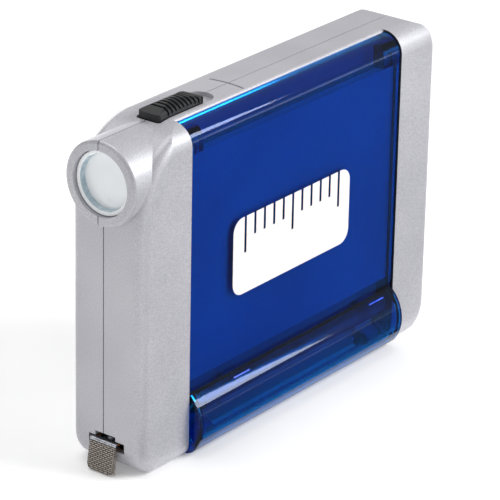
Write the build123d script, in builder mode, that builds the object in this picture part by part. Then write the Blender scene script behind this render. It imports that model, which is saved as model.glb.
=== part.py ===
"""Pocket tape measure with a torch, a hinged clear cover, a note pad and a pull-out pen.

Millimetres. X runs along the width, with the torch and the tape mouth at -X. -Y is the cover side.
Z is up, from the flat base. The origin is the middle of the base, on the seam between the two shells.
"""
import os
from math import cos, radians, sin, tan

from build123d import *

os.makedirs("parts", exist_ok=True)

# ---- driving sizes -------------------------------------------------------------------------------
case_width = 100.0
case_height = 72.4
front_depth = 9.9  # seam to the front of the rails
back_depth = 8.6  # seam to the back face
wall = 1.6
top_left_radius = 16.5
top_right_radius = 6.5
bottom_radius = 6.5
edge_radius = 2.4  # upright edges, front and back
top_front_radius = 4.7
bottom_front_radius = 3.0
back_radius = 2.8  # top and bottom edges of the back

left_rail_width = 15.3
right_rail_width = 13.4
deck_set_back = 4.9  # rail front to the deck behind the cover
deck_thickness = 1.0
deck_edge_radius = 0.8  # top edge of the case behind the cover
seam_width = 0.24
seam_depth = 0.35

torch_radius = 9.0
torch_drop = 9.5  # axis below the top
torch_side = -0.45
torch_stand_out = 1.7
torch_lip_radius = 6.9
torch_bore_radius = 7.5
torch_ring_rounding = 0.8
torch_lip_depth = 1.3
lens_thickness = 1.4
lens_step = 0.4
reflector_depth = 5.0
reflector_wall = 0.6
led_radius = 2.5
led_length = 4.5
board_thickness = 1.0

cover_inset = 0.4  # cover face behind the rail faces
cover_thickness = 1.5
cover_gap = 0.3
cover_foot_height = 14.2  # where the flat panel meets the bulge
cover_bulge = 3.4  # bulge in front of the panel face
bulge_wall = 1.0
bulge_foot_height = 1.6
bulge_foot_front = 1.5  # bulge in front of the panel face at its foot
end_cap_recess = 0.5
end_cap_thickness = 1.0
panel_lap = 0.4  # flat panel runs down into the bulge
hinge_height = 2.6
hinge_set_back = 2.3
hinge_knuckle_radius = 2.2
hinge_knuckle_length = 8.0
hinge_pin_radius = 1.5
hinge_pin_length = 2.8
running_fit = 0.08
latch_width = 4.6
latch_height = 4.4
latch_lap = 0.5

pen_radius = 1.9
pen_height = 9.0
pen_fit = 0.1
pen_front_wall = 1.1
pen_tip_length = 6.0
pen_wall = 0.5
pen_tip_gap = 1.0
pen_point_radius = 0.45
pen_plug_length = 6.0
pen_plug_rounding = 0.8
pen_mouth_depth = 1.2
pen_mouth_flare = 0.9
nail_groove_width = 0.6
nail_groove_depth = 0.35
nail_groove_place = 0.9
clip_insets = (16.7, 7.1)  # in from the left and the right rail
clip_length = 5.0

pad_thickness = 2.1
pad_margin = 0.5
card_thickness = 0.35
pad_foot = 16.0
pad_clear = 0.3  # under the latch lugs

tape_clear = 0.4  # deck to the blade
blade_width = 6.2
blade_thickness = 0.25
blade_height = 6.45
blade_out = 0.35
coil_clear = 0.3
coil_outer_radius = 19.8
hub_radius = 9.4
hub_wall = 1.0
reel_inset = 46.0  # in from the left face
post_radius = 2.0
flange_thickness = 0.8
flange_lap = 0.6
web_thickness = 1.0
flange_gap = 0.15
flange_hole_radius = 3.0
flange_holes = 6
cap_thickness = 0.6
spring_thickness = 0.3
spring_turns = 5
spring_gap = 0.4
spring_side_gap = 0.3

hook_lap = 0.3  # hook beyond each edge of the blade
hook_thickness = 0.4
hook_tip = 0.35  # tip above the base
hook_lean = 11.0
hook_tab_width = 4.4
hook_tab_length = 6.5
hook_slit = 0.15
rivet_radius = 0.7
rivet_head_radius = 1.1
rivet_head_height = 0.25
rivet_insets = (2.2, 4.6)  # in from the left face
backing_drop = 0.6  # top of the hook's inner leaf, under the blade

mouth_clear = 1.2  # at each side of the hook
mouth_shift = 0.3  # mouth off the middle of the blade, towards the cover
mouth_low = 5.0
mouth_high = 7.25
mouth_notch_width = 5.2
mouth_notch_high = 8.2
guide_inset = 4.0  # in from the left face
guide_length = 4.0
guide_low = 3.8
guide_high = 9.6
guide_back = 1.6  # beyond the blade
guide_side_gap = 0.3
guide_gap = 0.6

knob_inset = 13.1  # in from the left face
knob_length = 15.7
knob_width = 5.6
knob_start_rise = 1.1
knob_middle_rise = 2.15
knob_end_rise = 0.5
knob_side_rise = 1.0
knob_corner_radius = 0.8
knob_side = -0.4
knob_travel = 2.9
knob_flat_length = 2.6  # without ribs, at the blunt end
rib_pitch = 1.2
rib_gap = 0.5
rib_depth = 0.4
scoop_depth = 0.9
stem_length = 5.0
stem_width = 2.0
bridge_drop = 1.2
bridge_thickness = 0.4
scoop_margin = 0.3
slide_fit = 0.1

cell_radius = 10.0
cell_thickness = 3.2
cell_inset = 25.0  # in from the left face
cell_drop = 14.6  # below the top
door_margin = 1.6
door_gap = 0.12
door_rib = 1.2  # ring that holds the cells
door_groove = (8.0, 1.5, 0.4)  # finger groove: length, width, depth
door_groove_drop = 1.0  # below the cells' top
cell_fit = 0.3
contact_thickness = 0.3
contact_width = 3.0
contact_rise = 2.0  # above the middle of the cells
contact_stand_off = 0.4

groove_inset = 38.6  # in from the left face
groove_length = 8.4
groove_width = 0.5
groove_depth = 0.6

screw_radius = 1.0
screw_head_radius = 1.9
screw_head_height = 1.3
boss_radius = 2.8
screw_slot_width = 0.4
screw_slot_depth = 0.5
screw_insets = (7.5, 6.8)  # in from the left and the right face
screw_foot = 16.0
screw_left_top = 46.0
screw_right_drop = 14.4  # below the top

# ---- places worked out from them -----------------------------------------------------------------
left = -case_width / 2
right = case_width / 2
rail_left = left + left_rail_width
rail_right = right - right_rail_width
deck_front = -front_depth + deck_set_back
deck_back = deck_front + deck_thickness
back_inside = back_depth - wall
torch_height = case_height - torch_drop
reel_x = left + reel_inset
knob_start = left + knob_inset
cell_x = left + cell_inset
cell_height = case_height - cell_drop
groove_x = left + groove_inset
clip_places = (rail_left + clip_insets[0], rail_right - clip_insets[1])
screw_places = (
    (left + screw_insets[0], screw_foot),
    (left + screw_insets[0], screw_left_top),
    (right - screw_insets[1], screw_foot),
    (right - screw_insets[1], case_height - screw_right_drop),
)
cover_left = rail_left + cover_gap
cover_right = rail_right - cover_gap
cover_face = -front_depth + cover_inset
cover_inside = cover_face + cover_thickness
cover_back = deck_front - cover_gap
cover_top = case_height - cover_inset
hinge_side = -front_depth + hinge_set_back
pen_side = -front_depth + pen_front_wall + pen_fit + pen_radius
reel_height = blade_height + blade_thickness / 2 + coil_clear + coil_outer_radius
tape_side = deck_back + tape_clear + blade_width / 2
hook_width = blade_width + 2 * hook_lap
mouth_width = hook_width + 2 * mouth_clear
mouth_side = tape_side - mouth_shift
blade_low = blade_height - blade_thickness / 2
blade_high = blade_height + blade_thickness / 2
blade_front = tape_side - blade_width / 2
blade_back = tape_side + blade_width / 2
far = 2 * case_width  # longer than anything in the case


def block(low, high, mode=Mode.ADD):
    """Box between two opposite corners, in the part being built."""
    size = [b - a for a, b in zip(low, high)]
    middle = [(a + b) / 2 for a, b in zip(low, high)]
    with Locations(tuple(middle)):
        Box(*size, mode=mode)


def rod(radius, start, end, side, height, mode=Mode.ADD):
    """Cylinder along X between two places."""
    with Locations(Location(((start + end) / 2, side, height), (0, 90, 0))):
        Cylinder(radius, end - start, mode=mode)


def cross_rod(radius, front, back, x, height, mode=Mode.ADD):
    """Cylinder along Y between two places."""
    with Locations(Location((x, (front + back) / 2, height), (90, 0, 0))):
        Cylinder(radius, back - front, mode=mode)


def case_shape(inset):
    """The case's outer shape, moved in by a wall or a groove depth."""
    low_x, high_x = left + inset, right - inset
    low_z, high_z = inset, case_height - inset
    front, back = -front_depth + inset, back_depth - inset
    outline_radii = (bottom_radius, bottom_radius, top_right_radius, top_left_radius)
    section_radii = (bottom_front_radius, back_radius, back_radius, top_front_radius)
    with BuildPart() as shape:
        with BuildSketch(Plane.XZ.offset(-front)):
            with BuildLine():
                FilletPolyline(
                    (low_x, low_z),
                    (high_x, low_z),
                    (high_x, high_z),
                    (low_x, high_z),
                    radius=[r - inset for r in outline_radii],
                    close=True,
                )
            make_face()
        extrude(amount=front - back)
        ends = shape.faces().filter_by(Axis.Y)
        fillet(ends.edges(), edge_radius - inset)
        with BuildSketch(Plane.YZ.offset(left)):
            with BuildLine():
                FilletPolyline(
                    (front, low_z),
                    (back, low_z),
                    (back, high_z),
                    (front, high_z),
                    radius=[r - inset for r in section_radii],
                    close=True,
                )
            make_face()
        extrude(amount=case_width, mode=Mode.INTERSECT)
    return shape.part


def torch_shape(inset):
    """The torch tube's outside, standing out of the upper left corner."""
    mouth = left - torch_stand_out + inset
    with BuildPart() as tube:
        with BuildSketch(Plane.YZ.offset(mouth)):
            with Locations((torch_side, torch_height)):
                Circle(torch_radius - inset)
        extrude(amount=rail_left - wall - mouth)
        fillet(tube.edges().group_by(Axis.X)[0], torch_ring_rounding)
    return tube.part


case_block = case_shape(0)
torch_block = torch_shape(0)
case_under_seam = case_shape(seam_depth)
torch_under_seam = torch_shape(seam_depth)
case_inside = case_shape(wall)
lens_seat = left - torch_stand_out + torch_lip_depth

with BuildPart() as outside:
    add(case_block)
    add(torch_block)

with BuildPart() as seam_ring:
    add(outside.part)
    add(case_under_seam, mode=Mode.SUBTRACT)
    add(torch_under_seam, mode=Mode.SUBTRACT)
    block((-far, -seam_width / 2, -far), (far, seam_width / 2, far), mode=Mode.INTERSECT)

with BuildPart() as hollow:
    add(case_inside)
    block((rail_left - wall, -far, -far), (rail_right + wall, deck_back, far), mode=Mode.SUBTRACT)
    rod(torch_bore_radius, lens_seat, rail_left - 1.5 * wall, torch_side, torch_height)

scoop_start = knob_start - scoop_margin
scoop_end = knob_start + knob_length + knob_travel + scoop_margin
stem_start = knob_start + (knob_length - stem_length) / 2
door_half = cell_radius + door_margin


def slide_plan(start, end, width):
    """Plan of the switch and of its scoop: blunt towards the torch, round at the other end."""
    half = width / 2
    with BuildSketch() as plan:
        with Locations(((start + end - half) / 2, knob_side)):
            Rectangle(end - half - start, width)
        fillet(plan.vertices().group_by(Axis.X)[0], knob_corner_radius)
        with Locations((end - half, knob_side)):
            Circle(half)
    return plan.sketch_local


knob_plan = slide_plan(knob_start, knob_start + knob_length, knob_width)
scoop_plan = slide_plan(scoop_start, scoop_end, knob_width + 2 * scoop_margin)


def hollow_case():
    """Both shells in one, before they are parted at the seam."""
    with BuildPart() as case:
        add(outside.part)
        add(hollow.part, mode=Mode.SUBTRACT)
        add(seam_ring.part, mode=Mode.SUBTRACT)
        # room for the cover, in front of the deck
        with BuildSketch(Plane.YZ.offset(rail_left)):
            with BuildLine():
                edge_turn = deck_edge_radius * (1 - cos(radians(45)))
                rounding = ThreePointArc(
                    (deck_front, case_height - deck_edge_radius),
                    (deck_front + edge_turn, case_height - edge_turn),
                    (deck_front + deck_edge_radius, case_height),
                )
                Polyline(
                    rounding @ 1,
                    (deck_front + deck_edge_radius, far),
                    (-far, far),
                    (-far, -far),
                    (deck_front, -far),
                    rounding @ 0,
                )
            make_face()
        extrude(amount=rail_right - rail_left, mode=Mode.SUBTRACT)
        # torch mouth
        rod(torch_lip_radius, left - far, lens_seat, torch_side, torch_height, mode=Mode.SUBTRACT)
        # tape mouth: a wide slot with a narrower notch above it for the hook's tab
        half = mouth_width / 2
        block(
            (left - wall, mouth_side - half, mouth_low),
            (left + 2 * wall, mouth_side + half, mouth_high),
            mode=Mode.SUBTRACT,
        )
        half = mouth_notch_width / 2
        block(
            (left - wall, tape_side - half, mouth_high),
            (left + 2 * wall, tape_side + half, mouth_notch_high),
            mode=Mode.SUBTRACT,
        )
        # scoop and slot for the switch
        with BuildSketch(Plane.XY.offset(case_height - scoop_depth)):
            add(scoop_plan)
        extrude(amount=2 * scoop_depth, mode=Mode.SUBTRACT)
        block(
            (stem_start - scoop_margin, knob_side - stem_width / 2 - slide_fit, case_height - 2 * wall),
            (
                stem_start + stem_length + knob_travel + scoop_margin,
                knob_side + stem_width / 2 + slide_fit,
                case_height,
            ),
            mode=Mode.SUBTRACT,
        )
        # shallow curved groove across the seam
        with BuildSketch(Plane.XY.offset(case_height - groove_depth)):
            with BuildLine():
                ThreePointArc(
                    (groove_x, -groove_length / 2),
                    (groove_x + groove_width, 0),
                    (groove_x, groove_length / 2),
                )
                offset(amount=groove_width / 2)
            make_face()
        extrude(amount=2 * groove_depth, mode=Mode.SUBTRACT)
    return case.part


case_whole = hollow_case()

# ---- shells --------------------------------------------------------------------------------------
with BuildPart() as front_shell:
    add(case_whole)
    split(bisect_by=Plane.XZ, keep=Keep.TOP)
    # screw bosses, from the rail front to the seam
    for x, z in screw_places:
        cross_rod(boss_radius, -front_depth + wall, -slide_fit, x, z)
        cross_rod(screw_radius, -front_depth + 2 * wall, 0, x, z, mode=Mode.SUBTRACT)
    # saddles that hold the pen in front of the deck
    for x in clip_places:
        saddle_low = (x - clip_length / 2, pen_side, pen_height - 2 * pen_radius)
        saddle_high = (x + clip_length / 2, deck_front + slide_fit, pen_height + 2 * pen_radius)
        block(saddle_low, saddle_high)
    rod(pen_radius + pen_fit, rail_left, right + far, pen_side, pen_height, mode=Mode.SUBTRACT)
    # flared mouth of the pen's hole, for a fingernail
    with Locations(Location((right - pen_mouth_depth / 2, pen_side, pen_height), (0, 90, 0))):
        hole_radius = pen_radius + pen_fit
        Cone(hole_radius, hole_radius + pen_mouth_flare, pen_mouth_depth, mode=Mode.SUBTRACT)
    # holes for the cover's hinge pins
    pin_reach = hinge_pin_length + 2 * cover_gap
    rod(
        hinge_pin_radius + running_fit,
        rail_left - pin_reach,
        rail_right + pin_reach,
        hinge_side,
        hinge_height,
        mode=Mode.SUBTRACT,
    )
front_shell.part.label = "front_shell"

head_back = back_depth - screw_head_height / 2

with BuildPart() as back_shell:
    add(case_whole)
    split(bisect_by=Plane.XZ, keep=Keep.BOTTOM)
    for x, z in screw_places:
        cross_rod(boss_radius, slide_fit, back_inside + slide_fit, x, z)
        cross_rod(screw_radius + slide_fit, 0, back_depth, x, z, mode=Mode.SUBTRACT)
        cross_rod(
            screw_head_radius + 2 * slide_fit,
            head_back - screw_head_height,
            far,
            x,
            z,
            mode=Mode.SUBTRACT,
        )
    # opening for the battery door, with a ledge round it
    with BuildSketch(Plane.XZ.offset(-back_depth)):
        with Locations((cell_x, cell_height)):
            RectangleRounded(2 * door_half, 2 * door_half, 2 * wall)
    extrude(amount=wall / 2, mode=Mode.SUBTRACT)
    with BuildSketch(Plane.XZ.offset(-back_depth)):
        with Locations((cell_x, cell_height)):
            Circle(cell_radius + slide_fit)
    extrude(amount=2 * wall, mode=Mode.SUBTRACT)
back_shell.part.label = "back_shell"

# Pan-head screws, from the back into the front bosses.
with BuildPart() as case_screws:
    for x, z in screw_places:
        cross_rod(screw_head_radius, head_back - screw_head_height, head_back, x, z)
        cross_rod(screw_radius, -front_depth + 3 * wall, head_back, x, z)
        slot_half = screw_slot_width / 2
        for half_x, half_z in ((screw_radius, slot_half), (slot_half, screw_radius)):
            block(
                (x - half_x, head_back - screw_slot_depth, z - half_z),
                (x + half_x, far, z + half_z),
                mode=Mode.SUBTRACT,
            )
case_screws.part.label = "case_screws"

# ---- cover ---------------------------------------------------------------------------------------
bulge_front = cover_face - cover_bulge
bulge_middle = (cover_foot_height + bulge_foot_height) / 2
hinge_low = hinge_height - hinge_knuckle_radius
cheek_back = pen_side - pen_radius - cover_gap
pen_clear_height = pen_height + pen_radius + cover_gap
top_turn_radius = cover_back - cover_face
top_turn = cover_top - top_turn_radius
corner = radians(45)


def bulge_profile(step):
    """Section of the bulge, across and up, with its face moved in by a step. It stays in front of the pen."""
    with BuildSketch() as profile:
        with BuildLine():
            crown = ThreePointArc(
                (cover_face, cover_foot_height - step),
                (bulge_front + step, bulge_middle),
                (cover_face - bulge_foot_front + step, bulge_foot_height + step),
            )
            foot = ThreePointArc(
                crown @ 1,
                (cover_face, hinge_low + bulge_wall / 4 + step),
                (hinge_side, hinge_low + step),
            )
            Polyline(
                foot @ 1,
                (hinge_side, hinge_height),
                (cheek_back, hinge_height + step / 2),
                (cheek_back, pen_clear_height),
                (cover_inside, pen_clear_height),
                (cover_inside, cover_foot_height - step),
                crown @ 0,
            )
        make_face()
    return profile.sketch_local


bulge_outer = bulge_profile(0)
bulge_inner = bulge_profile(bulge_wall)

with BuildPart() as flip_cover:
    # flat panel with a rounded top edge
    with BuildSketch(Plane.YZ.offset(cover_left)):
        with BuildLine():
            rise = Line((cover_face, cover_foot_height - panel_lap), (cover_face, top_turn))
            over = ThreePointArc(
                rise @ 1,
                (
                    cover_face + top_turn_radius * (1 - cos(corner)),
                    top_turn + top_turn_radius * sin(corner),
                ),
                (cover_back, cover_top),
            )
            inner = top_turn_radius - cover_thickness
            edge = Line(over @ 1, (cover_back, cover_top - cover_thickness))
            under = ThreePointArc(
                edge @ 1,
                (
                    cover_inside + inner * (1 - cos(corner)),
                    top_turn + inner * sin(corner),
                ),
                (cover_inside, top_turn),
            )
            down = Line(under @ 1, (cover_inside, cover_foot_height - panel_lap))
            Line(down @ 1, rise @ 0)
        make_face()
    extrude(amount=cover_right - cover_left)
    # hollow bulge along the foot
    with BuildSketch(Plane.YZ.offset(cover_left)):
        add(bulge_outer)
        add(bulge_inner, mode=Mode.SUBTRACT)
    extrude(amount=cover_right - cover_left)
    # caps close it, set in from its two ends
    for start in (cover_left + end_cap_recess, cover_right - end_cap_recess - end_cap_thickness):
        with BuildSketch(Plane.YZ.offset(start)):
            add(bulge_outer)
        extrude(amount=end_cap_thickness)
    # hinge knuckles and pins at both ends of the foot
    for start in (cover_left, cover_right - hinge_knuckle_length):
        rod(hinge_knuckle_radius, start, start + hinge_knuckle_length, hinge_side, hinge_height)
    rod(hinge_pin_radius, cover_left - hinge_pin_length, cover_left + bulge_wall, hinge_side, hinge_height)
    rod(hinge_pin_radius, cover_right - bulge_wall, cover_right + hinge_pin_length, hinge_side, hinge_height)
    # latch lugs behind the two top corners
    for start in (cover_left, cover_right - latch_width):
        lug_low = (start, cover_inside - latch_lap, top_turn - latch_height / 2)
        lug_high = (start + latch_width, cover_back, top_turn + latch_height / 2)
        block(lug_low, lug_high)
flip_cover.part.label = "flip_cover"

# ---- pad -----------------------------------------------------------------------------------------
pad_top = top_turn - latch_height / 2 - pad_clear
pad_left = rail_left + pad_margin
pad_right = rail_right - pad_margin
pad_back = deck_front - card_thickness

with BuildPart() as pad_card:
    block((pad_left, pad_back, pad_foot), (pad_right, deck_front, pad_top))
pad_card.part.label = "pad_card"

with BuildPart() as note_pad:
    block((pad_left, pad_back - pad_thickness, pad_foot), (pad_right, pad_back, pad_top))
note_pad.part.label = "note_pad"

# ---- pen -----------------------------------------------------------------------------------------
pen_tip_x = rail_left + pen_tip_gap
pen_nose = pen_tip_x + pen_tip_length
plug_start = right - pen_plug_length

with BuildPart() as pen_barrel:
    rod(pen_radius, pen_nose, plug_start, pen_side, pen_height)
    rod(pen_radius - pen_wall, pen_nose, plug_start, pen_side, pen_height, mode=Mode.SUBTRACT)
pen_barrel.part.label = "pen_barrel"

with BuildPart() as pen_tip:
    with BuildSketch(Plane.YZ.offset(pen_nose)):
        with Locations((pen_side, pen_height)):
            Circle(pen_radius)
    with BuildSketch(Plane.YZ.offset(pen_tip_x)):
        with Locations((pen_side, pen_height)):
            Circle(pen_point_radius)
    loft()
pen_tip.part.label = "pen_tip"

with BuildPart() as pen_refill:
    refill_radius = pen_radius - pen_wall - slide_fit
    rod(refill_radius, pen_nose, plug_start - pen_plug_length, pen_side, pen_height)
pen_refill.part.label = "pen_refill"

with BuildPart() as pen_plug:
    rod(pen_radius, plug_start, right, pen_side, pen_height)
    fillet(pen_plug.edges().group_by(Axis.X)[-1], pen_plug_rounding)
    # nail groove, just inside the flared mouth
    with Locations(Location((right - nail_groove_place, pen_side, pen_height), (0, 90, 0))):
        Cylinder(2 * pen_radius, nail_groove_width, mode=Mode.SUBTRACT)
        Cylinder(pen_radius - nail_groove_depth, nail_groove_width)
pen_plug.part.label = "pen_plug"

# ---- torch ---------------------------------------------------------------------------------------
lens_back = lens_seat + lens_thickness
board_front = lens_back + reflector_depth

with BuildPart() as torch_lens:
    rod(torch_bore_radius - slide_fit, lens_seat, lens_back, torch_side, torch_height)
    rod(torch_lip_radius - slide_fit, lens_seat - lens_step, lens_seat, torch_side, torch_height)
torch_lens.part.label = "torch_lens"

with BuildPart() as torch_reflector:
    cone_turn = Plane(origin=(0, torch_side, torch_height), x_dir=(1, 0, 0), z_dir=(0, -1, 0))
    with BuildSketch(cone_turn):
        with BuildLine():
            Polyline(
                (lens_back, torch_bore_radius - slide_fit),
                (board_front, torch_bore_radius - slide_fit),
                (board_front, led_radius + slide_fit),
                (board_front - reflector_wall, led_radius + slide_fit),
                (lens_back, torch_lip_radius - slide_fit),
                close=True,
            )
        make_face()
    revolve(axis=Axis((0, torch_side, torch_height), (1, 0, 0)))
torch_reflector.part.label = "torch_reflector"

with BuildPart() as led:
    led_front = board_front - led_length
    with BuildSketch(cone_turn):
        with BuildLine():
            dome = RadiusArc((led_front, 0), (led_front + led_radius, led_radius), led_radius)
            Polyline(dome @ 1, (board_front, led_radius), (board_front, 0), dome @ 0)
        make_face()
    revolve(axis=Axis((0, torch_side, torch_height), (1, 0, 0)))
led.part.label = "led"

with BuildPart() as led_board:
    rod(torch_bore_radius - slide_fit, board_front, board_front + board_thickness, torch_side, torch_height)
led_board.part.label = "led_board"

# Two brass strips from the board back to the cells.
strip_start = board_front + board_thickness
with BuildPart() as battery_contacts:
    strip_low = cell_height + contact_rise
    strip_back = back_inside - 2 * cell_thickness - contact_stand_off
    block(
        (strip_start, strip_back - contact_thickness, strip_low),
        (cell_x, strip_back, strip_low + contact_width),
    )
    strip_back = back_inside - cell_thickness / 2
    block(
        (strip_start, strip_back - contact_thickness, strip_low),
        (cell_x - cell_radius - slide_fit, strip_back, strip_low + contact_width),
    )
battery_contacts.part.label = "battery_contacts"

with BuildPart() as coin_cells:
    for number in range(2):
        front = back_inside - (2 - number) * cell_thickness
        cross_rod(cell_radius - cell_fit, front, front + cell_thickness - slide_fit, cell_x, cell_height)
coin_cells.part.label = "coin_cells"

with BuildPart() as battery_door:
    with BuildSketch(Plane.XZ.offset(-back_depth)):
        with Locations((cell_x, cell_height)):
            RectangleRounded(2 * door_half - 2 * door_gap, 2 * door_half - 2 * door_gap, 2 * wall)
    extrude(amount=wall / 2 - slide_fit)
    with BuildSketch(Plane.XZ.offset(-back_depth)):
        with Locations((cell_x, cell_height)):
            Circle(cell_radius - cell_fit)
            Circle(cell_radius - cell_fit - door_rib, mode=Mode.SUBTRACT)
    extrude(amount=wall - slide_fit)
    # finger groove along the top of the door
    groove_half = door_groove[0] / 2
    groove_top = cell_height + cell_radius - door_groove_drop
    block(
        (cell_x - groove_half, back_depth - door_groove[2], groove_top - door_groove[1]),
        (cell_x + groove_half, far, groove_top),
        mode=Mode.SUBTRACT,
    )
battery_door.part.label = "battery_door"

# ---- switch --------------------------------------------------------------------------------------
knob_end = knob_start + knob_length
knob_floor = case_height - scoop_depth + slide_fit
knob_top = case_height + knob_middle_rise
half_knob = knob_width / 2

with BuildPart() as switch_knob:
    # low crown, highest near the blunt end
    with BuildSketch(Plane.XZ.offset(-knob_side - half_knob)):
        with BuildLine():
            crown = ThreePointArc(
                (knob_start, case_height + knob_start_rise),
                ((knob_start + knob_end) / 2, knob_top),
                (knob_end, case_height + knob_end_rise),
            )
            Polyline(crown @ 1, (knob_end, knob_floor), (knob_start, knob_floor), crown @ 0)
        make_face()
    extrude(amount=knob_width)
    # rounded across
    with BuildSketch(Plane.YZ.offset(knob_start)):
        with BuildLine():
            vault = ThreePointArc(
                (knob_side - half_knob, case_height + knob_side_rise),
                (knob_side, knob_top),
                (knob_side + half_knob, case_height + knob_side_rise),
            )
            Polyline(
                vault @ 1,
                (knob_side + half_knob, knob_floor),
                (knob_side - half_knob, knob_floor),
                vault @ 0,
            )
        make_face()
    extrude(amount=knob_length, mode=Mode.INTERSECT)
    with BuildSketch(Plane.XY.offset(knob_floor)):
        add(knob_plan)
    extrude(amount=knob_top - knob_floor, mode=Mode.INTERSECT)
    # ribs left between vaulted cross grooves
    rib_start = knob_start + knob_flat_length
    rib_count = int((knob_end - rib_start) / rib_pitch)
    for number in range(rib_count):
        x = rib_start + number * rib_pitch
        along = (x - (knob_start + knob_end) / 2) / (knob_length / 2)
        end_rise = knob_start_rise if along < 0 else knob_end_rise
        groove_floor = knob_top - (knob_middle_rise - end_rise) * along * along - rib_depth
        with BuildSketch(Plane.YZ.offset(x)):
            with BuildLine():
                floor_arc = ThreePointArc(
                    (knob_side - half_knob, groove_floor - knob_middle_rise + knob_side_rise),
                    (knob_side, groove_floor),
                    (knob_side + half_knob, groove_floor - knob_middle_rise + knob_side_rise),
                )
                Polyline(
                    floor_arc @ 1,
                    (knob_side + half_knob, knob_top + rib_depth),
                    (knob_side - half_knob, knob_top + rib_depth),
                    floor_arc @ 0,
                )
            make_face()
        extrude(amount=rib_gap, mode=Mode.SUBTRACT)
    # stem through the slot in the top
    stem_foot = case_height - wall - bridge_drop
    stem_half = stem_width / 2
    block(
        (stem_start, knob_side - stem_half, stem_foot),
        (stem_start + stem_length, knob_side + stem_half, knob_floor),
    )
switch_knob.part.label = "switch_knob"

with BuildPart() as switch_bridge:
    block(
        (stem_start, knob_side - stem_width, stem_foot - bridge_thickness),
        (stem_start + stem_length, knob_side + stem_width, stem_foot),
    )
switch_bridge.part.label = "switch_bridge"

# ---- tape, reel and spring -----------------------------------------------------------------------
plate_x = left - blade_out - hook_thickness
bend_top = blade_high + hook_thickness

rivet_places = [left + inset for inset in rivet_insets]

with BuildPart() as tape_blade:
    block((left - blade_out, blade_front, blade_low), (reel_x, blade_back, blade_high))
    with Locations([(x, tape_side, blade_height) for x in rivet_places]):
        Cylinder(rivet_radius, 2 * blade_thickness, mode=Mode.SUBTRACT)
tape_blade.part.label = "tape_blade"

plate_drop = bend_top - hook_tip
plate_out = plate_drop * tan(radians(hook_lean))


def hook_layer(shift):
    """One leaf of the hook's plate, along and up, moved inwards by a shift."""
    with BuildSketch() as leaf:
        with BuildLine():
            Polyline(
                (plate_x + shift, bend_top),
                (plate_x + shift + hook_thickness, bend_top),
                (plate_x + shift + hook_thickness - plate_out, hook_tip),
                (plate_x + shift - plate_out, hook_tip),
                close=True,
            )
        make_face()
    return leaf.sketch_local


hook_leaf = hook_layer(0)
backing_leaf = hook_layer(hook_thickness + hook_slit)

with BuildPart() as tape_hook:
    with BuildSketch(Plane.XZ.offset(-tape_side - hook_width / 2)):
        add(hook_leaf)
    extrude(amount=hook_width)
    block(
        (plate_x + hook_thickness / 2, tape_side - hook_tab_width / 2, blade_high),
        (left + hook_tab_length, tape_side + hook_tab_width / 2, bend_top),
    )
    with Locations([(x, tape_side, bend_top) for x in rivet_places]):
        Cylinder(rivet_radius, 2 * hook_thickness, mode=Mode.SUBTRACT)
tape_hook.part.label = "tape_hook"

with BuildPart() as hook_backing:
    with BuildSketch(Plane.XZ.offset(-tape_side - hook_width / 2)):
        add(backing_leaf)
    extrude(amount=hook_width)
    block((-far, -far, blade_low - backing_drop), (far, far, far), mode=Mode.SUBTRACT)
hook_backing.part.label = "hook_backing"

with BuildPart() as hook_rivets:
    with Locations([(x, tape_side, (blade_low + bend_top) / 2) for x in rivet_places]):
        Cylinder(rivet_radius, bend_top - blade_low)
    head_places = (blade_low - rivet_head_height, bend_top)
    with Locations([(x, tape_side, z) for x in rivet_places for z in head_places]):
        Cylinder(rivet_head_radius, rivet_head_height, align=(Align.CENTER, Align.CENTER, Align.MIN))
hook_rivets.part.label = "hook_rivets"

with BuildPart() as reel_post:
    cross_rod(post_radius, deck_back, back_inside, reel_x, reel_height)
reel_post.part.label = "reel_post"

flange_front = blade_back + flange_gap
with BuildPart() as reel_hub:
    cross_rod(hub_radius, blade_front, flange_front, reel_x, reel_height)
    pocket_radius = hub_radius - hub_wall
    web_front = blade_back - web_thickness
    cross_rod(pocket_radius, -far, web_front, reel_x, reel_height, mode=Mode.SUBTRACT)
    flange_radius = coil_outer_radius + flange_lap
    cross_rod(flange_radius, flange_front, flange_front + flange_thickness, reel_x, reel_height)
    cross_rod(post_radius + running_fit, -far, far, reel_x, reel_height, mode=Mode.SUBTRACT)
    # lightening holes in the flange
    with BuildSketch(Plane.XZ.offset(-flange_front)):
        with Locations((reel_x, reel_height)):
            with PolarLocations((hub_radius + coil_outer_radius) / 2, flange_holes):
                Circle(flange_hole_radius)
    extrude(amount=-2 * flange_thickness, mode=Mode.SUBTRACT)
reel_hub.part.label = "reel_hub"

with BuildPart() as tape_coil:
    cross_rod(coil_outer_radius, blade_front, blade_back, reel_x, reel_height)
    cross_rod(hub_radius, -far, far, reel_x, reel_height, mode=Mode.SUBTRACT)
tape_coil.part.label = "tape_coil"

spring_inner = post_radius + spring_gap
spring_outer = hub_radius - hub_wall - spring_gap
half_step = (spring_outer - spring_inner - spring_thickness) / (2 * spring_turns)


def spiral_half_turns(first_radius):
    """Ends and middle of each half turn of a spiral that opens by a step each half turn."""
    halves = []
    for number in range(2 * spring_turns):
        start_radius = first_radius + number * half_step
        end_radius = start_radius + half_step
        side = 1 if number % 2 == 0 else -1
        start = (side * start_radius, 0)
        middle = (side * (start_radius - end_radius) / 2, side * (start_radius + end_radius) / 2)
        end = (-side * end_radius, 0)
        halves.append((start, middle, end))
    return halves


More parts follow.
